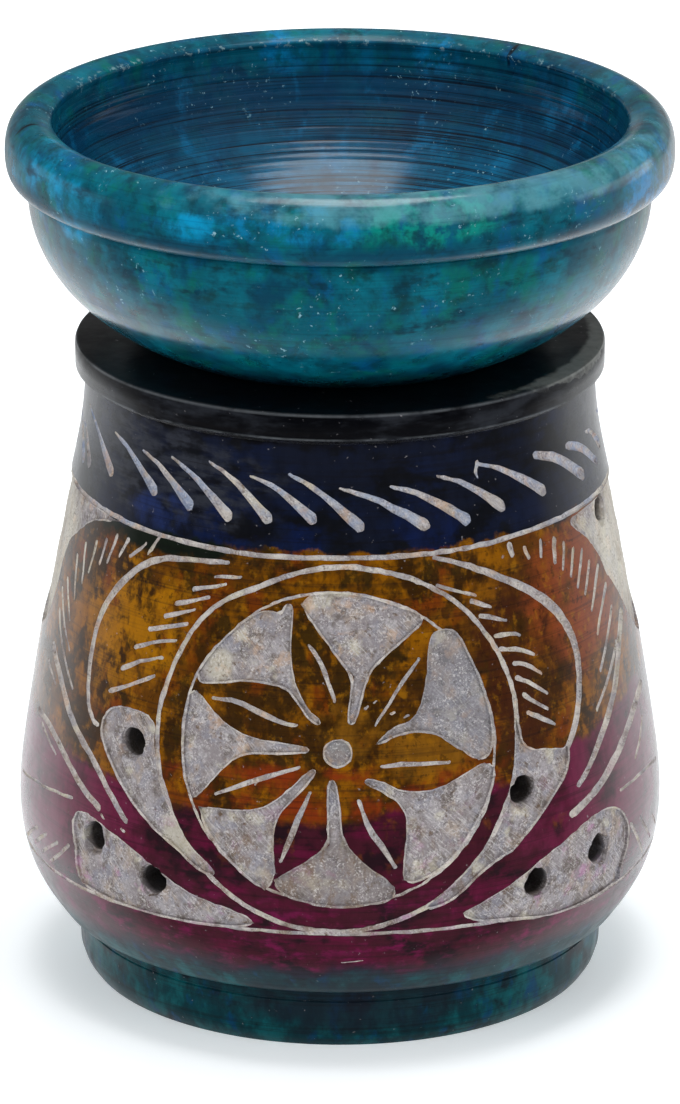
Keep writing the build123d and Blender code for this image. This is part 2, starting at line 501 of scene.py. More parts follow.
outer_ring = [
    (0, 60.8), (-10, 59.6), (-17.5, 57.6), (-25, 55.5), (-30, 52), (-33.5, 47.5), (-36, 42), (-35.7, 39),
    (-35, 36), (-33.5, 33), (-31, 30), (-28, 26.5), (-22.5, 23.2), (-17, 20.5), (-10, 18.5), (-5, 17.9),
    (0, 17.7), (5, 18), (10, 19), (15, 20.3), (20, 22.5), (24, 25), (27, 27), (30, 30.2), (32.5, 33),
    (34, 36.5), (34.5, 40), (34.8, 43), (34, 45.5), (32, 49), (30, 51), (26, 54.5), (20, 57.2), (15, 58.8),
    (10, 59.8),
]
inner_ring = [
    (0, 57.9), (-10, 57), (-15, 55.7), (-20, 53.3), (-25, 50.2), (-28, 47.3), (-29.8, 44), (-30.4, 40),
    (-29.5, 36), (-28, 33), (-26.5, 31), (-24, 28.5), (-20, 26), (-15, 23.5), (-10, 22.2), (0, 20.9),
    (10, 22), (15, 23.5), (20, 25.8), (24, 28.5), (27, 31.5), (28.5, 34.5), (29.8, 40), (29, 43),
    (27.5, 46.5), (25, 50), (19, 53.3), (15, 55), (10, 56.5),
]
centre_disc = [(-0.4 + 2.45 * math.sin(math.radians(turn)), 39.1 + 1.53 * math.cos(math.radians(turn)))
               for turn in range(0, 360, 30)]
medallion_fields = [
    [(-7.8, 56.2), (-5, 57.5), (5, 57.3), (16, 54.6), (16.3, 53.8), (10, 51), (6, 49), (4.5, 47), (3, 43),
     (2, 42.5), (1.5, 43.2), (2.7, 48), (0, 50), (-4, 53.2)],
    [(18.5, 52.5), (22, 52.6), (23.5, 51.8), (25, 50), (28, 45.5), (29.5, 40.5), (28.5, 37.6), (26, 37),
     (22, 39), (18, 41), (14, 41.5), (10, 41), (6.5, 40), (8, 40.8), (10, 41.8), (14, 42.5), (16, 45),
     (17, 48), (17.5, 51)],
    [(27, 36.6), (29, 35.8), (28.5, 34), (26, 31), (22, 27.5), (18, 25), (13, 23.5), (11, 24), (11.5, 27),
     (12.2, 30.5), (11.5, 32.5), (9, 34.2), (4.3, 35.7), (5, 36), (8, 35.5), (11, 34.2), (17, 34),
     (22, 35.2)],
    [(-11.5, 24), (-6, 26), (-1.8, 28.4), (-2, 31), (-2.1, 35), (-1.4, 36.1), (-0.6, 35), (0, 31),
     (0.2, 28.9), (4, 26), (9.5, 23.2), (9, 21.8), (5, 21.2), (0, 20.9), (-5, 21.3), (-10, 22.3)],
    [(-26, 31.6), (-20, 31.5), (-14, 32), (-10, 34), (-5, 37.3), (-4.4, 36.8), (-8, 34), (-11.5, 31.5),
     (-12, 29), (-11.7, 26), (-11.5, 24.3), (-13, 22.6), (-18, 25), (-23, 28)],
    [(-29.5, 44.3), (-28, 45), (-24, 42.5), (-18, 40.2), (-6, 39.8), (-5.8, 39.2), (-12, 38.9), (-18, 38.7),
     (-22, 36.5), (-25, 33.8), (-27.3, 32.3), (-29, 34.5), (-30, 38), (-30, 41)],
    [(-27.3, 46), (-28, 47), (-25, 50), (-20, 53.3), (-15, 55.3), (-11.5, 54.8), (-10.5, 56.2), (-9.4, 55.8),
     (-9.8, 52), (-9.5, 48.5), (-8, 46), (-6, 43.8), (-3.8, 43), (-4, 42.4), (-6, 43.2), (-9, 46),
     (-11, 46.8), (-18, 47.2), (-23, 46.4)],
]
medallion_strokes = {
    (0.4, 0.7, 0.4): [
        [(-6, 51.5), (-4, 50), (-2.5, 48), (-1, 45.2)], [(7.7, 37.5), (12, 37.6), (20.2, 37.3)],
    ],
    (0.4, 0.55, 0.25): [[(15.2, 49.6), (11, 46.5), (8.5, 44), (6.5, 42.3)]],
    (0.4, 0.8, 0.4): [
        [(3.4, 33.6), (5, 30.2), (8, 27.5), (9.7, 25.5)], [(-5.3, 34.5), (-8, 30.5), (-10.2, 26.3)],
        [(-7.5, 37.4), (-15, 35.6), (-22.7, 33.4)],
        [(-24.4, 44.4), (-20, 44.6), (-15, 43.4), (-10, 42.3), (-8, 42.3)],
    ],
}
left_fields = [
    [(-48.8, 39.5), (-46.5, 40.5), (-42, 41), (-38, 40.6), (-36.5, 39.8), (-36.6, 38), (-35.8, 36),
     (-34.6, 33.5), (-32.5, 31), (-29, 28), (-27, 26.5), (-22.3, 24.2), (-22.5, 23.7), (-25, 24),
     (-30, 26.3), (-35, 28), (-40, 30.3), (-45, 33.2), (-49, 36), (-50, 37.8)],
    [(-55, 25), (-54, 26.4), (-51, 26.8), (-46, 26), (-40, 24.8), (-34, 23), (-28, 21), (-22, 20),
     (-17, 19.2), (-15, 18.3), (-18, 17.6), (-30, 17.2), (-45, 17.2), (-52.5, 17.8), (-53.8, 20),
     (-53.5, 21.8), (-54.5, 23.5)],
]
right_fields = [
    [(34.8, 41), (35.2, 37.8), (37.5, 36.6), (41, 36.3), (45.3, 35.6), (46.5, 35.8), (46, 34), (45, 32.8),
     (41, 30.6), (37, 28.5), (33, 26.5), (31.5, 25.6), (28, 25), (24, 23.3), (20, 21), (16, 20.2),
     (15.3, 20.4), (20, 22.7), (25, 25.3), (28.5, 27.8), (31, 30.5), (33, 33), (34, 36), (34, 38)],
    [(21.7, 19), (24, 19.5), (30, 21), (38, 23.6), (46, 25.5), (51, 26.5), (56, 26.5), (60, 25.4),
     (62.5, 23), (62.5, 21), (60.5, 18.5), (60, 16.5), (50, 15.9), (42, 15.9), (38, 16.2), (33, 17),
     (28, 17.4), (24, 17.8)],
]
left_strokes = {
    (0.5, 1.0, 0.7): [
        [(-23.5, 60.2), (-30, 59.8), (-37.5, 59.4), (-43, 58.2), (-48, 55.8), (-52, 53), (-54.7, 50),
         (-55.8, 46.5), (-55.6, 43), (-54.8, 40), (-53, 38.2), (-51, 37.6)],
    ],
    (1.3, 1.0, 0.7): [[(-72, 43), (-66, 40.5), (-60, 37), (-55, 35), (-50, 33), (-45, 30), (-41, 27.8)]],
    (0.9, 0.9): [[(-75, 34.5), (-68, 34.3), (-62, 32.8), (-57, 31), (-52, 29.2), (-48, 28.2)]],
    (0.4, 0.4): [
        [(-82, 25), (-75, 26), (-65, 27), (-56, 27.7)], [(-63.5, 31.5), (-72, 33.5)],
        [(-74, 41), (-68, 39.2)],
    ],
    (0.5, 0.5): [
        [(-56, 21.8), (-60, 19.5), (-63.5, 18)], [(-60, 21.2), (-67, 18.4)], [(-64.3, 21.3), (-71, 18.6)],
        [(-69, 21), (-77, 18)],
    ],
    (0.6, 0.4): [
        [(-49.3, 60), (-51.3, 57.7)], [(-53, 59.8), (-55, 56.5)], [(-56.5, 58.8), (-57.6, 55.8)],
        [(-60, 58), (-61.2, 54.2)], [(-64.5, 57), (-63.2, 52.5)], [(-67.5, 55), (-65.5, 50.2)],
        [(-70.3, 51.5), (-66, 47.5)], [(-72.5, 50), (-69, 47), (-64, 44.2)],
        [(-72, 47.5), (-69, 44.8), (-60.5, 40.2)],
    ],
    (0.5, 0.4): [[(-48, 58.2), (-44, 60.2)], [(-43, 59.2), (-40.5, 61.3)]],
}
left_hatch = {
    (0.4, 0.4): [[(-26, 58.3), (-20.5, 58.7)]],
    (0.5, 0.4): [[(-30.5, 56.5), (-23.5, 57.6)]],
    (0.6, 0.4): [
        [(-34.2, 54.4), (-27, 55.9)], [(-36.5, 52.7), (-30, 54.1)], [(-40, 50.7), (-31.3, 52.4)],
        [(-43, 48.2), (-38, 49.6), (-33.5, 50.2)], [(-46, 45.2), (-40, 47.2), (-36.2, 47.9)],
        [(-48.5, 42.1), (-42, 44.1), (-37.7, 45.5)],
    ],
}
right_strokes = {
    (0.5, 1.3, 0.9): [
        [(19.5, 61), (25, 60), (32, 58.2), (40, 55.6), (46, 53), (50, 50), (52, 46.8), (52, 44), (51, 41),
         (49, 38), (46, 35.6)],
    ],
    (1.6, 1.2, 0.8): [[(72, 47), (68, 44), (64, 40), (60, 37.5), (55, 34.5), (50, 31.7), (48, 31)]],
    (1.4, 1.2, 0.9): [[(78, 37), (72, 36), (66, 34), (60, 31.8), (54, 29.8), (50, 28.7), (45.5, 27.8)]],
    (0.4, 0.5): [[(60.5, 27.7), (66, 27.8), (75, 27.5), (82, 26.5)]],
    (0.5, 0.5): [[(68, 30), (72, 31.5), (75, 33.5)]],
    (0.6, 0.4): [
        [(63.3, 22.8), (66, 20.5), (70, 17.5)], [(67.5, 22.6), (71, 20.3), (74.5, 18.3)],
        [(75, 21), (79.5, 18.8)],
    ],
    (0.9, 0.7): [[(37.3, 60.8), (37.8, 59.7)], [(50, 59.8), (49.3, 57.4)]],
    (0.6, 0.5): [
        [(41.2, 60), (42, 58.8)], [(46, 60.2), (45.5, 58.5)], [(53, 58.9), (51.5, 56.2)],
        [(55.8, 57.8), (53.7, 55)], [(59, 57.2), (55.4, 53.4)], [(61, 55.4), (57.5, 52.2)],
    ],
    (0.7, 0.5): [
        [(64.2, 54.3), (59, 50)], [(66.5, 51.7), (62, 49), (60, 47)],
        [(67.5, 48.7), (63, 45.5), (59, 42.7)], [(67, 44.5), (61, 41), (56, 38.6)],
    ],
}
right_hatch = {
    (0.5, 0.4): [[(19.8, 57.8), (24, 56.8), (28, 56)]],
    (0.6, 0.4): [
        [(27, 55.4), (31.2, 54.4)], [(28.8, 53.6), (34.4, 52.4)], [(31.6, 50.9), (36, 50.8), (37.2, 50.4)],
        [(32.5, 49.3), (37, 48.8), (40.2, 47.7)], [(35.4, 47.3), (38.5, 46.8), (41.6, 45.3)],
        [(35.6, 45.6), (39, 44.4), (42.4, 42.8)], [(36.7, 43.4), (42, 41)],
        [(37.5, 41.2), (40, 40.3), (43.5, 39)],
    ],
}
spandrels = [
    [(-53, 61.5), (-60, 60.8), (-65, 59.8), (-69, 58), (-74, 56), (-76, 53), (-76.5, 50), (-80, 45),
     (-90, 42), (-100, 45), (-103.5, 50), (-104, 53), (-106, 56), (-111, 58), (-115, 59.8), (-120, 60.8),
     (-127, 61.5), (-90, 61.6)],
    [(56.5, 60.6), (57.5, 61.4), (90, 61.5), (122.5, 61.4), (123.5, 60.6), (119, 58.9), (116, 57.2),
     (113.5, 55), (112, 52.8), (110, 52), (100, 44), (90, 41), (80, 44), (70, 52), (68, 52.8), (66.5, 55),
     (64, 57.2), (61, 58.9)],
]
collar_dashes = [
    [(-80, 69.3), (-71, 65.8)], [(-76, 72), (-59.5, 66.6)], [(-59.5, 71.2), (-44, 66.5)],
    [(-48.5, 70.6), (-34, 65.9)], [(-39.5, 70.8), (-24.5, 65.5)], [(-29.5, 71.3), (-15.5, 65.7)],
    [(-19.5, 70.3), (-6, 66)], [(-11, 70.9), (4, 65.1)], [(0, 69.4), (18, 64.8)], [(11, 69.5), (27.5, 64.8)],
    [(21.5, 70.2), (36.5, 65.5)], [(31, 70.9), (49, 65.8)], [(48, 70.1), (65, 65.3)],
    [(60, 69.5), (75, 65.2)], [(70.5, 69.5), (80, 66.5)],
]
back_dash_step = 12.5
window_edge = 145
upper_line = [(-92, 62), (-75, 62.1), (-60, 62), (-50, 61.8), (-35, 61.6), (-20, 61.4), (0, 61.5), (20, 61.5),
              (32, 61.6), (45, 61.9), (60, 62), (75, 62.1), (92, 62)]
lower_line = [(-92, 17), (-70, 17), (-50, 17.1), (-20, 17.4), (-8, 17.5), (10, 17.4), (28, 17.2), (35, 16.6),
              (40, 16), (50, 15.8), (60, 16.2), (72, 16.6), (92, 17)]
nicks = {
    (0.15, 0.3, 0.15): [[(0.3, 13.4), (4, 13.6)]],
    (0.3, 0.3): [
        [(4.6, 44.3), (5.2, 44.5)], [(9.6, 43.6), (10.1, 43.7)], [(12, 43), (12.7, 43.2)],
        [(-47, 27.4), (-46.4, 27.1)],
    ],
    (0.25, 0.25): [[(6.4, 44.9), (6.9, 45.1)]],
    (0.35, 0.35): [[(-42, 26.6), (-41.2, 26.4)]],
    (0.2, 0.2): [[(-15, 35.3), (-15.4, 35)]],
}


def mirrored(points, about):
    """The same drawing turned over about the given angle."""
    return [(2 * about - angle, height) for angle, height in points]


carved_fields = [centre_disc] + medallion_fields + left_fields + right_fields + spandrels
fields = tool_rack("fields")
cleared(fields, carved_fields)
cut_away(body, fields)

# the offsets of the vector noise come from the clock unless they are seeded
noise.seed_set(shake_seed)
strokes = tool_rack("strokes")
for outline in carved_fields:
    gouged(strokes, outline, (0.42, 0.42), ring=True)
for group in (medallion_strokes, left_strokes, left_hatch, right_strokes, right_hatch, nicks):
    for widths, paths in group.items():
        for points in paths:
            gouged(strokes, points, widths)
gouged(strokes, outer_ring, (0.62, 0.62), ring=True)
gouged(strokes, inner_ring, (0.34, 0.34), ring=True)
broad_dashes = {12: (1.0, 1.3, 1.2, 1.3, 1.6), 13: (0.9, 1.3, 1.1, 1.1, 1.2)}
for place, (start, end) in enumerate(collar_dashes):
    run, drop = end[0] - start[0], end[1] - start[1]
    bow = [(start[0] + run * along, start[1] + drop * along + rise)
           for along, rise in ((0, 0), (0.12, 0.25), (0.4, 0.75), (0.75, 0.4), (1, 0))]
    gouged(strokes, bow, broad_dashes.get(place, (0.35, 0.6, 0.75, 1.1, 1.5)))
gouged(strokes, [(31.2, 71), (30.7, 70.2), (31.2, 69.4)], (0.6, 0.5, 0.3))
for line, width in ((upper_line, 0.6), (lower_line, 0.5)):
    gouged(strokes, line, (width, width))
    gouged(strokes, mirrored(line, 90), (width, width))
first_back, last_back = collar_dashes[-1][0][0] + back_dash_step, 360 + collar_dashes[0][0][0] - 3
for angle in np.arange(first_back, last_back, back_dash_step):
    dash = [(angle, 69.9), (angle + 5.5, 69.2), (angle + 10.5, 67.4), (angle + 14, 65.6)]
    gouged(strokes, dash, (0.35, 0.7, 1, 1.5))
# the strokes at the sides come again behind, short of the window
for group, side in ((left_strokes, -90), (right_strokes, 90)):
    for widths, paths in group.items():
        for points in paths:
            turned_over = mirrored(points, side)
            if max(abs(angle) for angle, height in turned_over) < window_edge:
                gouged(strokes, turned_over, widths)
cut_away(body, strokes)

only(body)
bpy.ops.object.shade_smooth_by_angle(angle=math.radians(28))

# Stone and dyes: the block is a pale lilac-grey soapstone. Its outside is brushed with dyes in four bands,
# navy on the collar and neck, amber, magenta, and teal on the foot, and waxed. The carving shows raw stone.


def paint(colour):
    """A colour, given as it looks on a screen from 0 to 255, as a shader wants it."""
    return tuple((c / 255 / 12.92) if c < 10 else ((c / 255 + 0.055) / 1.055) ** 2.4 for c in colour) + (1,)


def shader_group(name, given, results):
    """A node group with the named inputs and results. An input of None is a vector, the rest are numbers."""
    group = bpy.data.node_groups.new(name, "ShaderNodeTree")
    for socket, value in given.items():
        kind = "NodeSocketVector" if value is None else "NodeSocketFloat"
        made = group.interface.new_socket(name=socket, in_out="INPUT", socket_type=kind)
        if value is not None:
            made.default_value = value
    for socket in results:
        group.interface.new_socket(name=socket, in_out="OUTPUT", socket_type="NodeSocketFloat")
    return group


def ends():
    """The sockets that bring values into the group being made, and those that take its results out."""
    return tree.nodes.new("NodeGroupInput").outputs, tree.nodes.new("NodeGroupOutput").inputs


def maths(operation, *values):
    """The result of one sum."""
    return node("Math", dict(enumerate(values)), operation=operation).outputs[0]


def times(first, *others):
    """The product of the values."""
    for other in others:
        first = maths("MULTIPLY", first, other)
    return first


def most(first, *others):
    """The greatest of the values."""
    for other in others:
        first = maths("MAXIMUM", first, other)
    return first


def long_side(across, up):
    """The long side of a right angle."""
    return maths("SQRT", maths("MULTIPLY_ADD", across, across, times(up, up)))


# where on a turned piece: the angle from the front in degrees, the height and the radius in millimetres
tree = round_and_up = shader_group("round_and_up", {"Vector": None}, ["Angle", "Height", "Radius"])
given, result = ends()
spot = node("SeparateXYZ", {0: given["Vector"]}).outputs
plug(result["Angle"], maths("DEGREES", maths("ARCTAN2", spot["X"], times(spot["Y"], -1))))
plug(result["Height"], maths("DIVIDE", spot["Z"], mm))
plug(result["Radius"], maths("DIVIDE", long_side(spot["X"], spot["Y"]), mm))

# mottles: soft-edged blots of a dye that soaked in unevenly, Size millimetres across
tree = mottles = shader_group(
    "mottles", {"Vector": None, "Size": 5.0, "Stretch": 1.0, "From": 0.45, "To": 0.6, "Batch": 0.0}, ["Mask"]
)
given, result = ends()
drawn_out = node("CombineXYZ", {0: 1, 1: 1, 2: given["Stretch"]}).outputs[0]
spread = node("VectorMath", {0: given["Vector"], 1: drawn_out}, operation="MULTIPLY").outputs[0]
per_size = scaled(spread, maths("DIVIDE", 1 / mm, given["Size"]))
elsewhere = node("VectorMath", {0: per_size, 1: times(given["Batch"], 7.3)}, operation="ADD").outputs[0]
soaked = {"Vector": elsewhere, "Scale": 1, "Detail": 4, "Roughness": 0.62, "Distortion": 0.15}
blots = node("TexNoise", soaked).outputs[0]
plug(result["Mask"], ramp(blots, given["From"], given["To"], interpolation_type="SMOOTHSTEP"))

# dab: a brushed patch of another dye at an angle and height, with a ragged edge
tree = dab = shader_group(
    "dab",
    {"Angle": 0.0, "Height": 0.0, "At Angle": 0.0, "At Height": 0.0, "Half Angle": 10.0, "Half Height": 5.0,
     "Ragged": 0.5},
    ["Mask"],
)
given, result = ends()
sideways = maths("DIVIDE", maths("SUBTRACT", given["Angle"], given["At Angle"]), given["Half Angle"])
upwards = maths("DIVIDE", maths("SUBTRACT", given["Height"], given["At Height"]), given["Half Height"])
away = maths("ADD", long_side(sideways, upwards), given["Ragged"])
plug(result["Mask"], ramp(away, 1.15, 0.65, interpolation_type="SMOOTHSTEP"))

# turning marks: fine grooves that run round the piece, with their height and the dark dye that stays in them
tree = turning_marks = shader_group(
    "turning_marks", {"Vector": None, "Along": 0.0, "Pitch": 1.0}, ["Height", "Dark"]
)
given, result = ends()
track = maths("DIVIDE", given["Along"], given["Pitch"])
slow = node("VectorMath", {0: given["Vector"], 1: (22, 22, 0)}, operation="MULTIPLY").outputs[0]
lanes = node("TexNoise", {"Vector": slow, "W": track, "Scale": 1, "Detail": 4, "Roughness": 0.75},
             noise_dimensions="4D").outputs[0]
plug(result["Height"], lanes)
plug(result["Dark"], ramp(lanes, 0.5, 0.38))


def placed(group, **sockets):
    """The outputs of a shader group in the material being made. Underscores stand for spaces."""
    plugs = {name.replace("_", " "): value for name, value in sockets.items()}
    return node("Group", plugs, node_tree=group).outputs


def over(below, colour, mask):
    """Lay a colour over another one where the mask is white; a plain one is given from 0 to 255."""
    laid = node("Mix", data_type="RGBA")
    for place, value in ((0, mask), (6, below), (7, colour)):
        plug(laid.inputs[place], paint(value) if isinstance(value, tuple) else value)
    return laid.outputs[2]


def dyed(colour, *coats):
    """A colour with others laid over it in turn, each given with one mask or with several that multiply."""
    for coat, *masks in coats:
        colour = over(colour, coat, times(*masks))
    return colour


def principled(**constants):
    """A Principled shader in the material being made, and the place it shades. Underscores are spaces."""
    shader = node("BsdfPrincipled", {name.replace("_", " "): value for name, value in constants.items()})
    node("OutputMaterial", {"Surface": shader.outputs[0]})
    return shader, node("TexCoord").outputs["Object"]


def finished(colour, roughness, relief, strength, depth):
    """Plug the shader's colour and roughness in, and a bump from the relief, its depth in millimetres."""
    plug(shader.inputs["Base Color"], colour)
    plug(shader.inputs["Roughness"], roughness)
    bump = node("Bump", {"Height": relief, "Strength": strength, "Distance": depth * mm})
    plug(shader.inputs["Normal"], bump.outputs[0])


def wax_film(share):
    """A thin coat of polishing wax, which shows most where the surface turns away; share thins it."""
    turned_away = node("LayerWeight", {"Blend": 0.4}).outputs["Facing"]
    return times(ramp(turned_away, 0.26, 0.48), share)


def grain(scale, detail, roughness=0.5):
    """Noise all over the material being made, finer as the scale goes up."""
    fineness = {"Scale": scale, "Detail": detail, "Roughness": roughness}
    return node("TexNoise", {"Vector": at, **fineness}).outputs[0]


def shaken(scale, roughness=0.5):
    """How far a brush's edge strays, from about -0.8 to 0.8."""
    return maths("MULTIPLY_ADD", grain(scale, 6, roughness), 1.6, -0.8)


def blot(size, low, high, batch, stretch=1):
    """A mask of mottles in the material being made."""
    return placed(mottles, Vector=at, Size=size, From=low, To=high, Batch=batch, Stretch=stretch)["Mask"]


def brushed(at_angle, at_height, half_angle, half_height, measured="Height"):
    """A mask of one ragged dab in the material being made, with its height or its radius measured."""
    return placed(dab, Angle=where["Angle"], Height=where[measured], At_Angle=at_angle, At_Height=at_height,
                  Half_Angle=half_angle, Half_Height=half_height, Ragged=ragged)["Mask"]


def band(height, softness):
    """A mask that is white above a height in millimetres, with a soft uneven edge."""
    low, high = maths("SUBTRACT", height, softness), maths("ADD", height, softness)
    return ramp(maths("MULTIPLY_ADD", ragged, 3, where["Height"]), low, high, interpolation_type="SMOOTHSTEP")


def off_by(value, middle):
    """How far a value is from the middle, either way."""
    return maths("ABSOLUTE", maths("SUBTRACT", value, middle))


tree = emptied(dyed_stone)
shader, at = principled(Specular_IOR_Level=0.06, Coat_Roughness=0.24, Coat_IOR=1.5)
where = placed(round_and_up, Vector=at)
ragged = shaken(230, 0.65)
foot_dye = dyed(
    (4, 50, 58),
    ((10, 84, 90), blot(3.5, 0.42, 0.64, 1, 0.7)),
    ((10, 22, 32), blot(6, 0.52, 0.68, 2)),
    ((0, 62, 94), blot(2.6, 0.54, 0.68, 3, 0.6)),
    ((20, 27, 38), brushed(2, 6, 30, 4.5), 0.75),
)
low_down = ramp(band(22, 5), 1, 0)
sides = most(brushed(58, 31, 26, 12), brushed(-64, 29, 26, 12))
magenta_dye = dyed(
    (62, 18, 32),
    ((86, 14, 46), blot(6, 0.46, 0.66, 4, 2.2)),
    ((34, 14, 22), blot(6, 0.48, 0.62, 5, 1.6)),
    ((108, 18, 66), low_down, blot(3, 0.48, 0.72, 6, 1.8)),
    ((96, 48, 22), band(26, 4), blot(3, 0.58, 0.72, 7)),
    ((126, 30, 72), low_down, blot(1.1, 0.6, 0.74, 63), 0.3),
    ((98, 28, 58), sides, blot(6, 0.3, 0.56, 28)),
)
gold = most(brushed(3, 42, 7, 4), brushed(16, 39.5, 11, 4))
amber_dye = dyed(
    (86, 49, 3),
    ((134, 82, 0), blot(5, 0.42, 0.6, 8, 0.8)),
    ((106, 48, 4), blot(7, 0.5, 0.62, 30, 0.7)),
    ((56, 32, 4), blot(4.5, 0.49, 0.59, 9, 0.7)),
    ((58, 38, 6), blot(4, 0.54, 0.64, 10, 0.8)),
    ((152, 98, 0), brushed(-45, 51, 14, 9), blot(3, 0.42, 0.56, 11, 0.7)),
    ((44, 28, 4), blot(1.8, 0.53, 0.66, 29, 0.8), 0.6),
    ((124, 58, 22), brushed(56, 53, 18, 9), blot(5, 0.3, 0.5, 12)),
    ((64, 30, 10), brushed(36, 47, 12, 12), blot(4, 0.36, 0.58, 13)),
    ((54, 33, 7), brushed(-12, 45, 20, 11), blot(4, 0.4, 0.6, 14)),
    ((118, 76, 12), gold, blot(3, 0.34, 0.6, 71, 0.8)),
    ((144, 94, 6), blot(1.3, 0.54, 0.72, 61, 0.8), 0.65),
    ((38, 20, 4), blot(0.8, 0.56, 0.66, 62), 0.55),
    ((16, 24, 16), brushed(-42, 61.6, 22, 2.4)),
    ((120, 44, 10), brushed(0, 34, 40, 3.5), blot(5, 0.4, 0.6, 15)),
)
# greyish streaks on the collar's side: partly dust, partly painted sheen
collar_side_dust_and_sheen = times(band(74.8, 0.4), ramp(where["Radius"], 30.9, 31.3))
# pale lines along the collar's lower lip and upper outer edge: partly wear, partly painted highlight where
# the edges catch light
collar_edge_wear_and_highlights = [
    ((92, 96, 100), ramp(off_by(where["Height"], edge), 0.22, 0.04), ramp(where["Radius"], 30.7, 31.1),
     blot(5, 0.35, 0.6, 27), 0.7)
    for edge in (75.45, 78.35)
]
# the collar's top is paler towards the right: partly wear, partly painted reflection of the backdrop where
# the top turns away
worn_and_sheen_top = times(brushed(72, 30.4, 34, 1.4, "Radius"), band(78, 0.1))
navy_dye = dyed(
    (16, 21, 36),
    ((15, 23, 46), blot(8, 0.46, 0.62, 16)),
    ((12, 25, 62), brushed(-22, 64, 22, 4), blot(5, 0.4, 0.66, 17)),
    ((12, 24, 60), brushed(20, 64, 9, 4), blot(5, 0.36, 0.64, 18)),
    ((13, 15, 21), blot(6, 0.46, 0.62, 19, 1.6)),
    # a greyish patch on the neck's left: painted sheen
    ((44, 47, 56), brushed(-44, 69, 28, 6), blot(3, 0.38, 0.62, 68, 2.5)),
    ((28, 42, 84), brushed(-42, 64.2, 9, 2.4), blot(3, 0.3, 0.6, 72)),
    ((5, 6, 10), band(74.6, 0.4)),
    ((36, 39, 45), collar_side_dust_and_sheen, blot(7, 0.44, 0.7, 20, 3)),
    *collar_edge_wear_and_highlights,
    ((112, 114, 110), worn_and_sheen_top, 0.85),
)
# the amber ends on a line that bows down in front
across = maths("DIVIDE", node("SeparateXYZ", {0: at}).outputs["X"], mm)
bowed = maths("MULTIPLY_ADD", times(across, across), 0.004, maths("MULTIPLY_ADD", across, 0.07, 31.2))
marks = placed(turning_marks, Vector=at, Along=where["Height"], Pitch=0.5)
body_colour = dyed(
    foot_dye,
    (over((30, 26, 44), magenta_dye, band(12.2, 1.4)), band(10.8, 1.1)),
    (amber_dye, band(bowed, 0.7)),
    (navy_dye, band(61.9, 0.35)),
    ((14, 12, 14), marks["Dark"], 0.42),
    ((0, 0, 0), blot(0.9, 0.35, 0.75, 3.1, 0.25), 0.22),
    ((150, 146, 150), blot(0.7, 0.68, 0.74, 21), 0.5),
)
thin_on_top = ramp(where["Height"], 76.5, 78.2, 0.9, 0.3)
thin_below = ramp(where["Height"], 10.5, 17, 0.4, 1.15)
plug(shader.inputs["Coat Weight"], wax_film(times(thin_on_top, thin_below)))
skin = maths("MULTIPLY_ADD", marks["Height"], 0.7, times(grain(900, 4), 0.5))
finished(body_colour, ramp(blot(3, 0.35, 0.7, 22), 0, 1, 0.3, 0.46), skin, 0.35, 0.12)

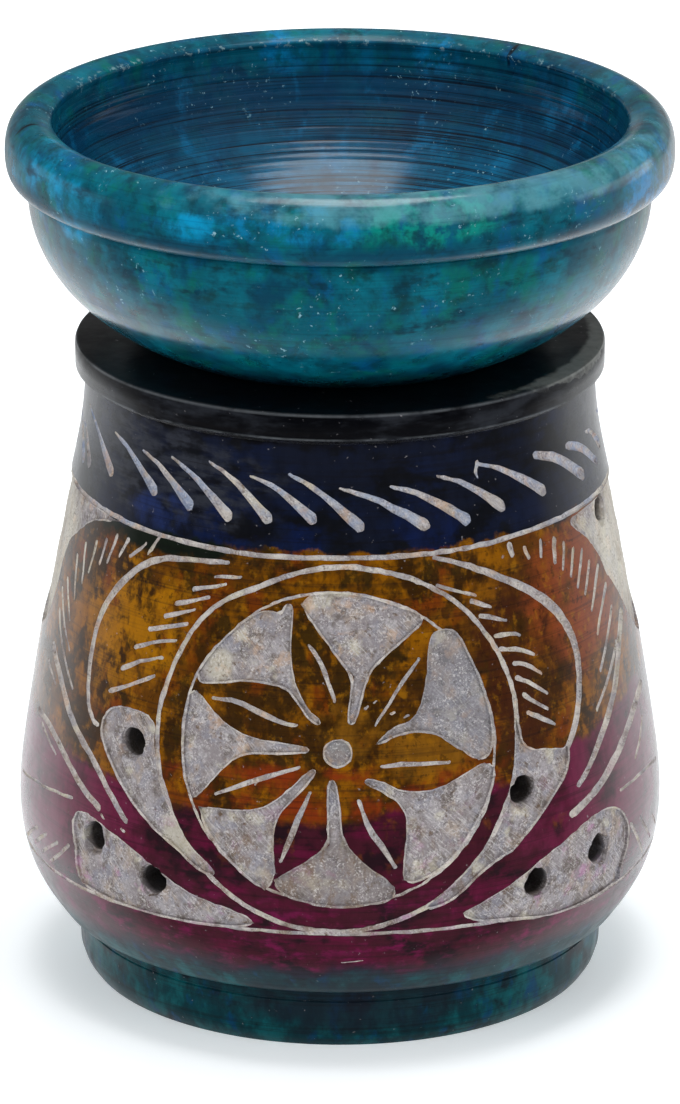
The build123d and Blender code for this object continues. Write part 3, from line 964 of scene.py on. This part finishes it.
# raw stone: where a chisel cleared it, and where a gouge only scored it, which stays paler
for stone, pale, middling, dark in (
    (raw_stone, (153, 148, 151), (133, 126, 128), (106, 97, 94)),
    (scored_stone, (194, 187, 180), (174, 167, 164), (140, 131, 130)),
):
    tree = emptied(stone)
    shader, at = principled(Specular_IOR_Level=0.3)
    where = placed(round_and_up, Vector=at)
    ragged = shaken(230)
    creamy = most(blot(4.5, 0.55, 0.66, 33), most(brushed(-29, 27.5, 5, 3), brushed(-24, 48, 4, 2.5)))
    shoulder = times(most(brushed(88, 54, 26, 10), brushed(-88, 53, 26, 10)), 0.6)
    # scratches run up to the right; a degree round the side is 0.64 mm
    arc = times(where["Angle"], 0.64)
    down_right, up_right = maths("SUBTRACT", arc, where["Height"]), maths("ADD", arc, where["Height"])
    drawn_out = {0: times(down_right, 0.35), 1: times(up_right, 3.4), 2: times(ragged, 0.6)}
    drawn_out = node("CombineXYZ", drawn_out).outputs[0]
    scratched = node("TexNoise", {"Vector": drawn_out, "Scale": 1, "Detail": 3, "Roughness": 0.6})
    in_patches = times(blot(5, 0.44, 0.6, 26), ramp(scratched.outputs[0], 0.5, 0.66))
    grainy = ramp(blot(1.8, 0.42, 0.6, 67), 0, 1, 0.12, 0.5)
    # painted shade: darker where the stone lies deeper than the carving goes, down the vent holes, but not
    # beside the window or on the floor.
    # The uncarved skin swells in a curve up the side, and in a straight line over the foot.
    up_side = maths("MULTIPLY_ADD", where["Height"], 0.05, -2.05)
    skin_out = maths("MULTIPLY_ADD", up_side, maths("MULTIPLY_ADD", up_side, -0.35, -3.25), 36.05)
    skin_out = maths("MINIMUM", skin_out, maths("MULTIPLY_ADD", where["Height"], 0.2147, 34.36))
    depth = maths("SUBTRACT", skin_out, where["Radius"])
    shade_in_drilling = times(ramp(depth, 0.85, 1.7, 0, 0.86), ramp(depth, 4.6, 6.2, 1, 0.3))
    beside_window = ramp(maths("ABSOLUTE", where["Angle"]), 139, 136, 0.15, 1)
    stone_colour = dyed(
        middling,
        (pale, blot(2.6, 0.44, 0.6, 31)),
        ((124, 125, 138), blot(3.4, 0.48, 0.62, 65), 0.6),
        ((156, 140, 126), blot(2.8, 0.5, 0.64, 66, 0.7), 0.75),
        (dark, blot(1.8, 0.5, 0.64, 32)),
        ((200, 193, 170), creamy, 0.55),
        ((94, 72, 50), blot(1.2, 0.6, 0.7, 34), 0.8),
        ((172, 118, 158), ramp(band(30, 6), 1, 0), 0.65, blot(3.2, 0.54, 0.7, 35)),
        ((132, 150, 180), band(62, 1), blot(3, 0.4, 0.6, 36), 0.7),
        ((196, 160, 128), band(36, 2), blot(2.5, 0.54, 0.66, 37), 0.5),
        ((216, 212, 198), shoulder),
        ((160, 148, 132), shoulder, blot(2.2, 0.5, 0.64, 74, 0.4)),
        ((206, 202, 202), in_patches, 0.55),
        ((212, 208, 208), blot(0.6, 0.54, 0.7, 38), 0.4),
        ((84, 76, 76), blot(0.55, 0.56, 0.72, 39), 0.5),
        ((112, 113, 122), brushed(22, 45, 10, 9), 0.5),
        ((108, 98, 94), brushed(-1, 23.5, 13, 6), 0.5),
        ((116, 94, 76), brushed(-2, 24, 36, 7), blot(1.5, 0.5, 0.64, 58, 0.6), 0.6),
        ((104, 104, 112), brushed(-0.4, 39.1, 2.6, 1.7), 0.75),
        ((224, 220, 218), blot(0.24, 0.52, 0.62, 59), grainy),
        ((66, 58, 56), blot(0.34, 0.53, 0.64, 60), grainy),
        # painted shade down the vent holes
        ((30, 25, 22), shade_in_drilling, beside_window, ramp(where["Height"], 10.5, 14)),
    )
    dents = maths("MULTIPLY_ADD", grain(1500, 5, 0.7), 0.4, grain(420, 3))
    finished(stone_colour, 0.78, maths("ADD", dents, times(in_patches, 0.5)), 0.6, 0.16)

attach(body, "base")
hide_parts("burner_body")

# Oil bowl: a second, loose block of soapstone turned to a round-sided dish with a rolled ring, dyed teal with
# bright blue and green blots, and waxed. Its low foot centres it in the collar's throat.
bowl_foot_outline = [(0, 76), (8, 76), (16, 76), (19.1, 76), (19.6, 76.5), (19.6, 78.6), (20.6, 78.6),
                     (21.6, 78.6)]
bowl_side_knots = [(21.6, 78.6), (24.76, 80.04), (28.98, 82.67), (32.37, 85.76), (34.84, 89.32),
                   (36.35, 93.27), (36.85, 97.6)]
bowl_groove = [(36.72, 97.85), (36.55, 97.97), (36.7, 98.08), (37.2, 98.12)]
ring_knots = [(37.8, 98.15), (38.6, 98.71), (39.35, 101.49), (38.49, 104.8), (36.3, 106.1), (34.15, 105.3)]
ring_inner_edge = [(33.9, 105.1), (33.82, 104.8)]
hollow_radius = 34
hollow_depth = 22.5
hollow_brim = 105.2
hollow_steps = 170
cutter_chatter = 0.06


def turned_hollow():
    """The bowl's round hollow from brim to axis, with the ripples that the lathe's cutter leaves."""
    points = []
    for step in range(1, hollow_steps + 1):
        turn = math.radians(2 + 88 * step / hollow_steps)
        ripple = cutter_chatter * noise.noise(Vector((step * 0.62, 0.3, 7))) if step < hollow_steps else 0
        deep = (1 - ripple / hollow_depth) * hollow_depth
        points.append((max(hollow_radius * math.cos(turn) - ripple, 0), hollow_brim - deep * math.sin(turn)))
    return points


bowl = turned(
    "turned_bowl",
    bowl_foot_outline + bent_through(bowl_side_knots, 34)[1:] + bowl_groove + bent_through(ring_knots, 40)
    + ring_inner_edge + turned_hollow(),
    stone_sides,
)
bpy.ops.object.shade_smooth_by_angle(angle=math.radians(40))
tree = coated(bowl, "dyed_bowl_stone")
shader, at = principled(Specular_IOR_Level=0.06, Coat_Roughness=0.18, Coat_IOR=1.5)
where = placed(round_and_up, Vector=at)
spot = node("SeparateXYZ", {0: at}).outputs
ragged = shaken(200, 0.65)
in_groove = ramp(off_by(where["Height"], 99.2), 2.4, 0.8)
far_dabs = most(brushed(-168, 103.5, 5, 2.6), brushed(160, 103, 5, 3))
outside_colour = dyed(
    (0, 80, 96),
    ((0, 102, 120), blot(8, 0.4, 0.62, 41)),
    ((0, 58, 80), blot(6, 0.44, 0.7, 42, 0.8)),
    ((0, 96, 86), blot(4, 0.5, 0.68, 43, 0.7), 0.8),
    ((0, 80, 126), blot(3.6, 0.52, 0.7, 44, 0.7), 0.8),
    ((0, 140, 184), brushed(-62, 101, 17, 5), blot(4, 0.36, 0.7, 45)),
    ((0, 138, 184), brushed(-24, 101.5, 6, 2.6), blot(4, 0.34, 0.66, 46)),
    ((0, 112, 156), brushed(-8, 103.2, 14, 2.2), blot(3, 0.42, 0.66, 52)),
    ((0, 62, 84), in_groove, blot(7, 0.3, 0.6, 73, 2)),
    ((0, 126, 116), brushed(16, 103.5, 14, 3), blot(2.4, 0.42, 0.6, 53)),
    ((0, 118, 170), brushed(66, 102, 12, 4), blot(3, 0.42, 0.6, 54)),
    ((0, 124, 176), far_dabs, blot(2, 0.36, 0.6, 75)),
    ((6, 46, 54), blot(2.2, 0.5, 0.7, 40, 0.8), 0.6),
    ((2, 38, 56), blot(5, 0.52, 0.7, 47, 2.2), 0.75),
    # a pale tone on the ring's crest, most of all in front: partly a paler worn dye, partly painted sheen of
    # the lamp overhead
    ((104, 168, 180), brushed(24, 105.2, 52, 2.2), blot(5, 0.3, 0.6, 69, 1.5), 0.42),
    ((10, 48, 48), brushed(0, 95, 60, 3), blot(3.4, 0.5, 0.7, 56, 1.6), 0.7),
)
# two dark nicks in the ring's top
on_top = ramp(where["Height"], 103.5, 104)
for nick_angle, nick_radius in ((-79, 37), (143, 34.8)):
    nick = placed(dab, Angle=where["Angle"], Height=where["Radius"], At_Angle=nick_angle,
                  At_Height=nick_radius, Half_Angle=0.5, Half_Height=1.6, Ragged=0)["Mask"]
    outside_colour = over(outside_colour, (2, 18, 26), times(nick, on_top))
# the hollow: inside the brim and above the bowl's own underside
inner = ramp(maths("ADD", where["Radius"], times(ragged, 0.8)), 34.4, 33.4)
above_side = ramp(maths("MULTIPLY_ADD", where["Radius"], -0.62, where["Height"]), 66.5, 67.5)
in_hollow = times(inner, times(ramp(where["Height"], 82.4, 82.8), above_side))
down_hollow = maths("MULTIPLY_ADD", where["Radius"], 0.45, where["Height"])
marks = placed(turning_marks, Vector=at, Along=down_hollow, Pitch=0.34)
worn_edge = times(ramp(off_by(where["Radius"], 34), 0.7, 0.15), ramp(where["Height"], 104.4, 104.9))
bowl_colour = dyed(
    outside_colour,
    ((0, 48, 80), in_hollow, 0.8),
    ((0, 92, 134), in_hollow, blot(4, 0.52, 0.74, 55, 0.5)),
    ((0, 104, 142), ramp(where["Height"], 97, 89), in_hollow, blot(5, 0.3, 0.66, 70), 0.85),
    ((2, 16, 30), marks["Dark"], ramp(in_hollow, 0, 1, 0.2, 1)),
    ((120, 150, 156), worn_edge, blot(0.9, 0.56, 0.66, 49), 0.6),
    ((132, 178, 192), blot(9, 0.5, 0.6, 64), blot(0.6, 0.63, 0.7, 50), 0.8),
)
# the wax is thickest on the ring's crest, most of all in front, and thin on the ring's left and in the hollow
crest = ramp(where["Height"], 101, 104, 0, ramp(spot["Y"], 0.025, -0.005, 0.25, 0.55))
on_ring = ramp(where["Height"], 97.5, 99.5, 1, ramp(spot["X"], -0.03, 0.02, 0.4, 1.25))
outside = times(wax_film(0.85), ramp(in_hollow, 1, 0))
plug(shader.inputs["Coat Weight"], most(times(most(outside, crest), on_ring), times(in_hollow, 0.42)))
deep_marks = times(marks["Height"], maths("MULTIPLY_ADD", in_hollow, 2.6, 0.35))
skin = maths("MULTIPLY_ADD", grain(800, 4), 0.4, deep_marks)
finished(bowl_colour, ramp(blot(3, 0.35, 0.7, 51), 0, 1, 0.26, 0.42), skin, 0.4, 0.14)
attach(bowl, "bowl")
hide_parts("oil_bowl")

# Tealight: a thin aluminium cup, pressed with flutes down its side and a rolled lip, filled with poured wax.
# The wick stands in a steel tab on the cup's floor, which the wax hides.
cup_low, cup_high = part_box("tealight_cup")
cup_floor, cup_top, cup_out = cup_low.z / mm, cup_high.z / mm, cup_high.x / mm
cup_wall, cup_foot, cup_skin = cup_out - 0.62, cup_out - 1.1, 0.32
cup = turned(
    "fluted_cup",
    [(0, cup_floor + 0.35), (8, cup_floor + 0.35), (14, cup_floor + 0.3), (15.4, cup_floor),
     (cup_foot - 0.8, cup_floor), (cup_foot - 0.2, cup_floor + 0.25), (cup_foot, cup_floor + 0.9),
     (cup_foot + 0.15, cup_floor + 4),
     (cup_foot + 0.3, cup_floor + 8), (cup_foot + 0.4, cup_floor + 12), (cup_wall, cup_top - 1.0),
     (cup_wall, cup_top - 0.75), (cup_out - 0.2, cup_top - 0.7), (cup_out, cup_top - 0.45),
     (cup_out - 0.05, cup_top - 0.15), (cup_out - 0.25, cup_top), (cup_wall - 0.1, cup_top),
     (cup_wall - cup_skin, cup_top - 0.3), (cup_wall - cup_skin, cup_top - 1.0),
     (cup_foot + 0.4 - cup_skin, cup_top - 3.9), (cup_foot - cup_skin, cup_floor + 0.75),
     (0, cup_floor + 0.75)],
    288,
)
flutes = 48
flute_depth = 0.14
flute_low, flute_high = 1, 14.6
cup_side = 16.5 * mm
for vertex in cup.data.vertices:
    x, y, z = vertex.co
    out, lift = math.hypot(x, y), z / mm - cup_floor
    if out > cup_side and flute_low < lift < flute_high:
        fade = min(1, (lift - flute_low) / 2, (flute_high - lift) / 2)
        press = 1 - flute_depth * mm * fade * (0.5 + 0.5 * math.cos(flutes * math.atan2(y, x))) / out
        vertex.co.x, vertex.co.y = x * press, y * press
bpy.ops.object.shade_smooth_by_angle(angle=math.radians(40))
tree = coated(cup, "cup_aluminium")
shader, at = principled(Metallic=1)
where = placed(round_and_up, Vector=at)
rolled = placed(turning_marks, Vector=at, Along=where["Height"], Pitch=0.12)["Height"]
foil_colour = over((196, 198, 202), (226, 228, 230), rolled)
finished(foil_colour, ramp(blot(4, 0.2, 0.8, 61), 0, 1, 0.26, 0.36), rolled, 0.3, 0.05)
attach(cup, "tealight")
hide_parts("tealight_cup")

# Wax: poured into the cup round the wick, so it creeps up the cup's wall and up the wick, and sinks a little
# between the two. It fills round the tab's sleeve, which has its own space below.
wax_low, wax_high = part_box("tealight_wax")
wax_floor, wax_top, wax_out = wax_low.z / mm, wax_high.z / mm, wax_high.x / mm
wax = turned(
    "poured_wax",
    [(0, wax_floor + 3.6), (1.4, wax_floor + 3.6), (1.4, wax_floor + 0.5), (6.1, wax_floor + 0.5),
     (6.1, wax_floor), (wax_out - 0.5, wax_floor), (wax_out - 0.42, wax_floor + 2),
     (wax_out - 0.2, wax_floor + 7),
     (wax_out, wax_top - 0.4), (wax_out, wax_top), (wax_out - 0.2, wax_top - 0.05),
     (wax_out - 0.5, wax_top - 0.32), (wax_out - 1.1, wax_top - 0.52), (wax_out - 2.5, wax_top - 0.62),
     (12, wax_top - 0.7), (9, wax_top - 0.72), (6, wax_top - 0.78), (3.5, wax_top - 0.82),
     (2.2, wax_top - 0.7), (1.4, wax_top - 0.45), (0.95, wax_top - 0.1), (0.86, wax_top), (0, wax_top)],
    128,
)
bpy.ops.object.shade_smooth_by_angle(angle=math.radians(40))
tree = coated(wax, "wax")
shader, at = principled(Subsurface_Weight=0.3, Subsurface_Radius=(0.004, 0.003, 0.002), Subsurface_Scale=1)
wax_colour = dyed(
    (238, 234, 222),
    ((228, 222, 206), blot(4, 0.4, 0.65, 62)),
    ((248, 246, 240), blot(1.2, 0.56, 0.68, 63)),
)
finished(wax_colour, ramp(blot(3, 0.3, 0.7, 64), 0, 1, 0.28, 0.5), grain(260, 4), 0.4, 0.2)
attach(wax, "tealight")
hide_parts("tealight_wax")

# Wick: a plaited cotton cord drawn through wax. Three plies wind round each other, and the cut end frays a
# little. It stands in the tab and out of the wax.
wick_low, wick_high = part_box("tealight_wick")
wick_radius, wick_length = wick_high.x, wick_high.z - wick_low.z
wick_rings, plies, lay = 56, 3, 5 * mm
foot = (0, 0, wick_low.z)
bpy.ops.object.select_all(action="DESELECT")
bpy.ops.mesh.primitive_circle_add(vertices=30, radius=wick_radius, fill_type="NGON", location=foot)
wick = bpy.context.object
wick.name = wick.data.name = "plaited_wick"
open_up()
for ring in range(wick_rings):
    bpy.ops.mesh.extrude_region_move(TRANSFORM_OT_translate={"value": (0, 0, wick_length / wick_rings)})
face_outwards()
bpy.ops.object.transform_apply(location=True, rotation=True, scale=True)
for vertex in wick.data.vertices:
    x, y, z = vertex.co
    if math.hypot(x, y) > wick_radius / 2:
        turn = math.atan2(y, x)
        ply = abs(math.sin(plies / 2 * (turn + math.tau * z / lay)))
        thread = 0.05 * abs(math.sin(9 * (turn - math.tau * z / lay)))
        radius = wick_radius * (0.72 + 0.23 * ply ** 0.6 + thread * 0.9)
        frayed = max(0, (z - wick_high.z) / mm + 0.6) * 0.12
        radius *= 1 - frayed * (0.5 + 0.5 * math.sin(7 * turn))
        vertex.co.x, vertex.co.y = radius * math.cos(turn), radius * math.sin(turn)
bpy.ops.object.shade_smooth_by_angle(angle=math.radians(50))
tree = coated(wick, "wick_cotton")
shader, at = principled()
cotton_colour = dyed(
    (232, 228, 214),
    ((206, 198, 178), blot(0.4, 0.42, 0.6, 65)),
    ((244, 242, 234), blot(0.25, 0.5, 0.62, 66)),
)
finished(cotton_colour, 0.7, grain(6000, 3), 0.5, 0.04)
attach(wick, "tealight")
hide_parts("tealight_wick")

# Wick tab: a small tin-plated steel disc with a crimped sleeve, under the wax. The CAD solid already has its
# shape, so it only gets its steel.
tab_steel = bpy.data.materials.new("tab_steel")
tree = emptied(tab_steel)
shader, at = principled(Metallic=1)
plug(shader.inputs["Base Color"], over((178, 178, 176), (140, 138, 134), blot(1.2, 0.45, 0.62, 67)))
plug(shader.inputs["Roughness"], ramp(blot(0.8, 0.3, 0.7, 68), 0, 1, 0.3, 0.5))
tab = frame["nodes"]["wick_tab"]
if tab.material_slots:
    tab.material_slots[0].material = tab_steel
else:
    tab.data.materials.append(tab_steel)
